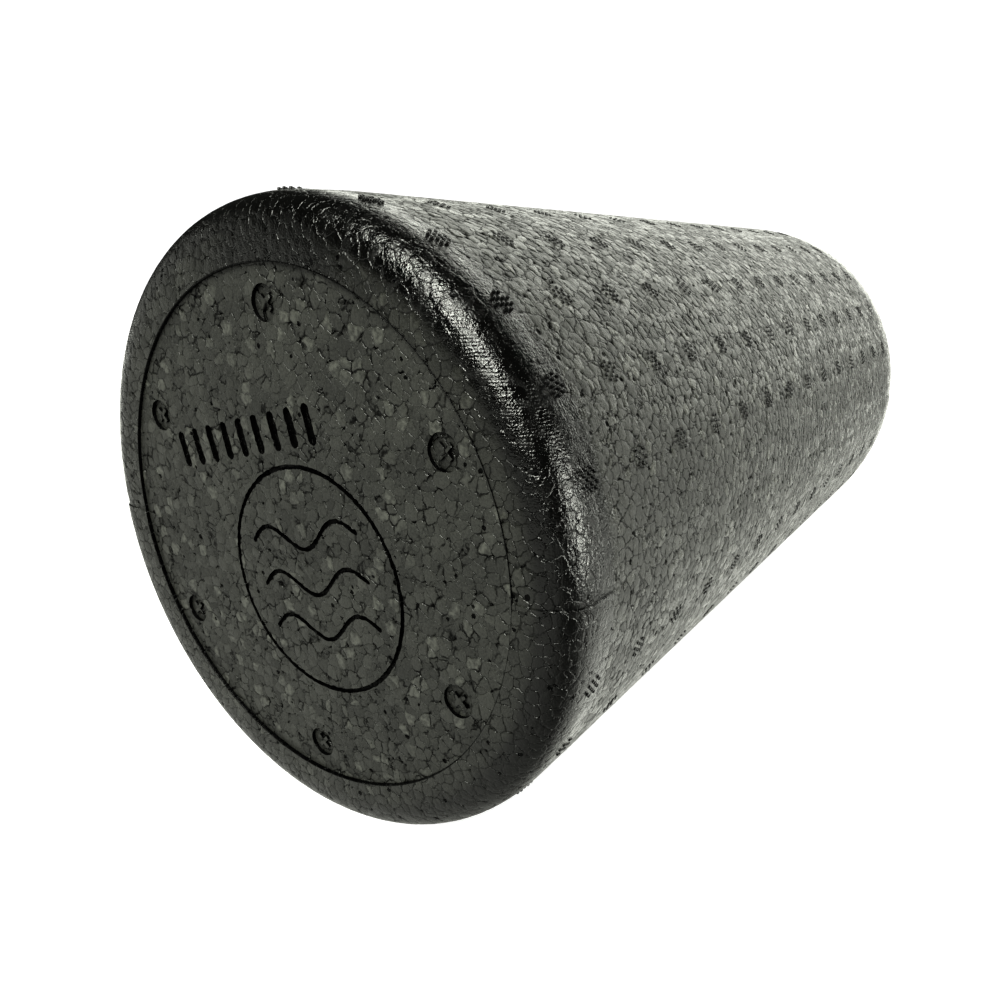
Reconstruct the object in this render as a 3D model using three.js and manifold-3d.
// Foam roller: a round bar of moulded bead foam that lies on its side.
// Millimetres, +Z up. X runs along the roller, the marked end faces -X, and the
// floor is at Z = 0 under the middle of the barrel.
import * as THREE from "three";
import { mergeVertices } from "three/addons/utils/BufferGeometryUtils.js";
import Module from "manifold-3d";

const wasm = await Module();
wasm.setup();

// Driving dimensions
const LENGTH = 300; // end to end
const RADIUS = 75; // barrel, measured to the middle of a facet
const SIDES = 96; // facets round the barrel, one of them flat on the floor
const SHOULDER_AXIAL = 13.5; // how far the rounded shoulder reaches along X
const SHOULDER_RADIAL = 13.2; // and inwards from the barrel
const SHOULDER_POWER = 3.1; // 2 is an ellipse, higher is squarer
const SHOULDER_STEPS = 9;

// End panels: the round zone inside each shoulder
const PANEL_RADIUS = 60.4;
const PANEL_THICKNESS = 6;
const PANEL_RECESS = 1; // its face lies this far inside the rim
const PANEL_SIDES = 96;
const PANEL_SHIFT_Y = -0.9; // the panel sits a little off the roller's axis
const PANEL_SHIFT_Z = 0.4;
const GAP = 0.3; // kept between touching pieces

// Round marks with a raised cross, on a circle round each panel
const MARK_COUNT = 6;
const MARK_CIRCLE_RADIUS = 52.7;
const MARK_RADIUS = 3.8;
const MARK_DEPTH = 1;
const MARK_SIDES = 24;
const CROSS_LENGTH = 4.2;
const CROSS_WIDTH = 1;
const CROSS_HEIGHT = 0.7; // above the mark's floor
const CROSS_TURN = 45; // degrees from upright

// Generic emblem sunk into the near panel: a ring round three waves, under a row of bars.
// It is drawn in its own upright plane, with places as [Y, Z], and then tilted about X.
const EMBLEM_TILT = -12; // degrees
const GROOVE_DEPTH = 1;
const GROOVE_WIDTH = 1.4;
const RING_CENTRE = [-3, -9];
const RING_RADIUS = 27;
const RING_SIDES = 64;
const WAVE_COUNT = 3;
const WAVE_SPACING = 11;
const WAVE_LENGTH = 36;
const WAVE_HEIGHT = 3; // from the middle of a wave to its crest
const WAVE_STEPS = 24;
const BAR_CENTRE = [9, 26];
const BAR_COUNT = 9;
const BAR_SPACING = 6;
const BAR_WIDTH = 2.4;
const BAR_HEIGHT = 9;

const AXIS_HEIGHT = RADIUS;
const CUT_CLEARANCE = 1; // how far a cutter stands out of the face that it cuts

const foam = new THREE.MeshStandardMaterial({ color: 0x3a3c38, roughness: 0.55, metalness: 0 });
const panelFoam = new THREE.MeshStandardMaterial({ color: 0x34362f, roughness: 0.65, metalness: 0 });

// Solids

function toSolid(geometry) {
  const bare = geometry.clone();
  bare.deleteAttribute("normal");
  bare.deleteAttribute("uv");
  const merged = mergeVertices(bare, 1e-4);
  return new wasm.Manifold(
    new wasm.Mesh({
      numProp: 3,
      vertProperties: new Float32Array(merged.attributes.position.array),
      triVerts: new Uint32Array(merged.index.array),
    }),
  );
}

function toGeometry(solid) {
  const { vertProperties, triVerts } = solid.getMesh();
  const geometry = new THREE.BufferGeometry();
  geometry.setAttribute("position", new THREE.BufferAttribute(vertProperties, 3));
  geometry.setIndex(new THREE.BufferAttribute(triVerts, 1));
  geometry.computeVertexNormals();
  return geometry;
}

// A solid of revolution about X from [x, radius] points, with a facet facing down.
// The points run from low x to high x, and the facets' middles lie at the radius.
function turned(profile, sides) {
  const widen = 1 / Math.cos(Math.PI / sides);
  const points = profile.map(([x, r]) => new THREE.Vector2(r * widen, x));
  const halfStep = Math.PI / sides;
  return new THREE.LatheGeometry(points, sides, halfStep).rotateZ(-Math.PI / 2);
}

function disc(x0, x1, radius, sides) {
  return turned([[x0, 0], [x0, radius], [x1, radius], [x1, 0]], sides);
}

// A box given by its ranges along X, Y and Z
function block([x0, x1], [y0, y1], [z0, z1]) {
  const box = new THREE.BoxGeometry(x1 - x0, y1 - y0, z1 - z0);
  return box.translate((x0 + x1) / 2, (y0 + y1) / 2, (z0 + z1) / 2);
}

// Barrel

// The shoulder's curve from the rim to the barrel, as [distance from the end, radius]
function shoulderCurve() {
  const points = [];
  for (let i = 0; i <= SHOULDER_STEPS; i++) {
    const turn = (i / SHOULDER_STEPS) * (Math.PI / 2);
    const inset = SHOULDER_AXIAL * (1 - Math.cos(turn) ** (2 / SHOULDER_POWER));
    const radius = RADIUS - SHOULDER_RADIAL * (1 - Math.sin(turn) ** (2 / SHOULDER_POWER));
    points.push([inset, radius]);
  }
  return points;
}

function barrelSolid() {
  const curve = shoulderCurve();
  const half = LENGTH / 2;
  const profile = [
    [-half, 0],
    ...curve.map(([inset, radius]) => [inset - half, radius]),
    ...curve.reverse().map(([inset, radius]) => [half - inset, radius]),
    [half, 0],
  ];
  return toSolid(turned(profile, SIDES));
}

// The pocket that a panel sits in, on the near end
function pocketSolid() {
  const mouth = -LENGTH / 2;
  const floor = mouth + PANEL_RECESS + PANEL_THICKNESS + GAP;
  const cutter = disc(mouth - CUT_CLEARANCE, floor, PANEL_RADIUS + GAP, PANEL_SIDES);
  return toSolid(cutter.translate(0, PANEL_SHIFT_Y, PANEL_SHIFT_Z));
}

function bodySolid() {
  const pocket = pocketSolid();
  const farPocket = pocket.rotate([0, 0, 180]);
  return barrelSolid().subtract(pocket).subtract(farPocket);
}

// Panels, built about their own centre with the face at x = 0 and facing -X

function addMark(panel, angle) {
  const y = MARK_CIRCLE_RADIUS * Math.cos(angle);
  const z = MARK_CIRCLE_RADIUS * Math.sin(angle);
  const cutter = disc(-CUT_CLEARANCE, MARK_DEPTH, MARK_RADIUS, MARK_SIDES);
  const hole = toSolid(cutter.translate(0, y, z));
  const long = [-CROSS_LENGTH / 2, CROSS_LENGTH / 2];
  const short = [-CROSS_WIDTH / 2, CROSS_WIDTH / 2];
  const height = [MARK_DEPTH - CROSS_HEIGHT, MARK_DEPTH + CUT_CLEARANCE];
  const cross = toSolid(block(height, long, short)).add(toSolid(block(height, short, long)));
  return panel.subtract(hole).add(cross.rotate([CROSS_TURN, 0, 0]).translate([0, y, z]));
}

// A ring-shaped groove cutter round X
function ringCutter() {
  const [inner, outer] = [RING_RADIUS - GROOVE_WIDTH / 2, RING_RADIUS + GROOVE_WIDTH / 2];
  const section = [
    [-CUT_CLEARANCE, inner],
    [-CUT_CLEARANCE, outer],
    [GROOVE_DEPTH, outer],
    [GROOVE_DEPTH, inner],
    [-CUT_CLEARANCE, inner],
  ];
  return toSolid(turned(section, RING_SIDES));
}

// One wave: a band of the groove's width along a sine of three half turns
function waveCutter() {
  const steps = Array.from({ length: WAVE_STEPS + 1 }, (_, i) => i / WAVE_STEPS);
  const edge = (side) =>
    steps.map((t) => {
      const middle = WAVE_HEIGHT * Math.sin(t * 3 * Math.PI);
      return new THREE.Vector2((t - 0.5) * WAVE_LENGTH, middle + (side * GROOVE_WIDTH) / 2);
    });
  const band = new THREE.ExtrudeGeometry(new THREE.Shape([...edge(-1), ...edge(1).reverse()]), {
    depth: GROOVE_DEPTH + CUT_CLEARANCE,
    bevelEnabled: false,
  });
  // The drawing's x and y become Y and Z, and its depth runs along X
  const toPanel = new THREE.Matrix4().makeBasis(
    new THREE.Vector3(0, 1, 0),
    new THREE.Vector3(0, 0, 1),
    new THREE.Vector3(1, 0, 0),
  );
  return toSolid(band.applyMatrix4(toPanel).translate(-CUT_CLEARANCE, 0, 0));
}

function barCutter() {
  return toSolid(
    block(
      [-CUT_CLEARANCE, GROOVE_DEPTH],
      [-BAR_WIDTH / 2, BAR_WIDTH / 2],
      [-BAR_HEIGHT / 2, BAR_HEIGHT / 2],
    ),
  );
}

// Where item i of a row of count lies, with the row centred on 0
const inRow = (i, count, spacing) => (i - (count - 1) / 2) * spacing;

function cutEmblem(panel) {
  const [ringY, ringZ] = RING_CENTRE;
  const [barY, barZ] = BAR_CENTRE;
  const cutters = [ringCutter().translate([0, ringY, ringZ])];
  for (let i = 0; i < WAVE_COUNT; i++) {
    cutters.push(waveCutter().translate([0, ringY, ringZ + inRow(i, WAVE_COUNT, WAVE_SPACING)]));
  }
  for (let i = 0; i < BAR_COUNT; i++) {
    cutters.push(barCutter().translate([0, barY + inRow(i, BAR_COUNT, BAR_SPACING), barZ]));
  }
  return cutters.reduce((rest, cutter) => rest.subtract(cutter.rotate([EMBLEM_TILT, 0, 0])), panel);
}

function panelSolid() {
  let panel = toSolid(disc(0, PANEL_THICKNESS, PANEL_RADIUS, PANEL_SIDES));
  for (let i = 0; i < MARK_COUNT; i++) {
    panel = addMark(panel, Math.PI / 2 + (i * 2 * Math.PI) / MARK_COUNT);
  }
  return panel;
}

// Scene graph

function piece(name, solid, material) {
  const mesh = new THREE.Mesh(toGeometry(solid), material);
  mesh.name = name;
  return mesh;
}

const roller = new THREE.Group();
roller.position.z = AXIS_HEIGHT;
roller.add(piece("roller_body", bodySolid(), foam));

const nearPanel = piece("near_end_panel", cutEmblem(panelSolid()), panelFoam);
nearPanel.position.set(-LENGTH / 2 + PANEL_RECESS, PANEL_SHIFT_Y, PANEL_SHIFT_Z);
roller.add(nearPanel);

const farPanel = piece("far_end_panel", panelSolid(), panelFoam);
farPanel.rotation.z = Math.PI;
farPanel.position.set(LENGTH / 2 - PANEL_RECESS, -PANEL_SHIFT_Y, PANEL_SHIFT_Z);
roller.add(farPanel);

export default new THREE.Group().add(roller);
